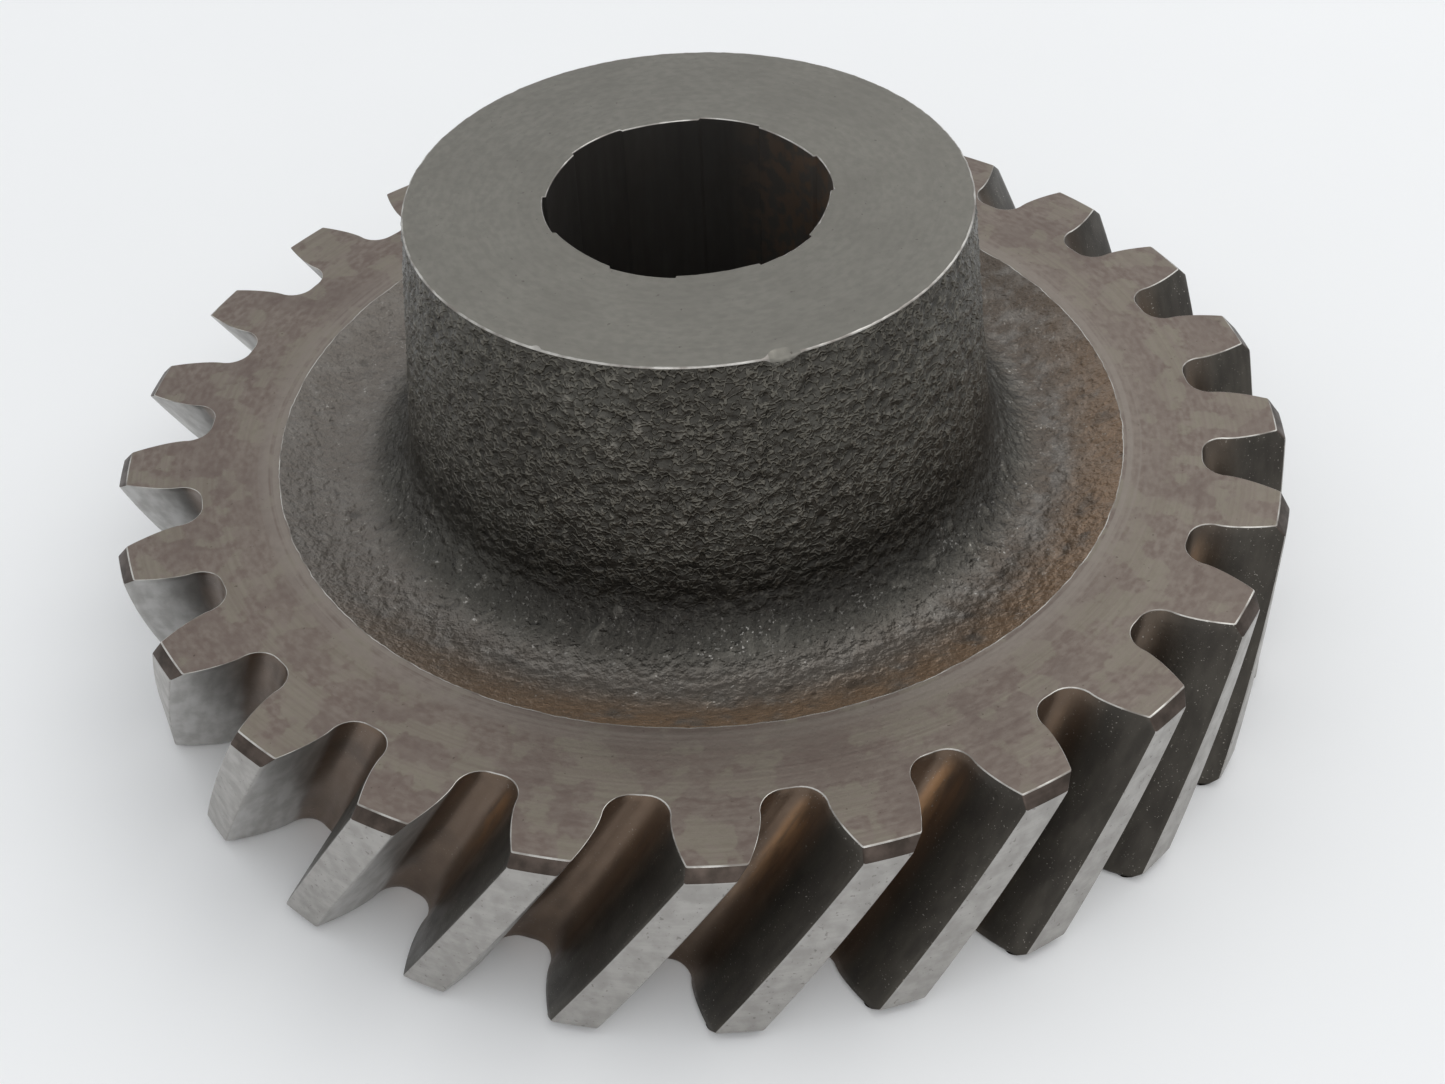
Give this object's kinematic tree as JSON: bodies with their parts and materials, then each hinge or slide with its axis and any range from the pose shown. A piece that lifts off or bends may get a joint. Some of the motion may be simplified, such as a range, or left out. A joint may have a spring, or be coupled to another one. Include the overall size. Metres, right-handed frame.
{
  "type": "helical gear",
  "caption": "Right-hand helical gear with a dished cast web, a long hub on one side and a lobed through bore.",
  "frame": {"origin": "on the gear's axis, in the plane of the flat back face that it rests on", "axes": "+Z along the axis from the back face towards the hub's end; +X through the middle of one bore lobe"},
  "size_m": [0.112, 0.112, 0.0475],
  "materials": {
    "gear_iron": "as-cast web and hub side, turned faces, hobbed teeth, light oil and surface rust"
  },
  "bodies": {
    "root": {"helical_gear": "gear_iron"}
  },
  "joints": []
}
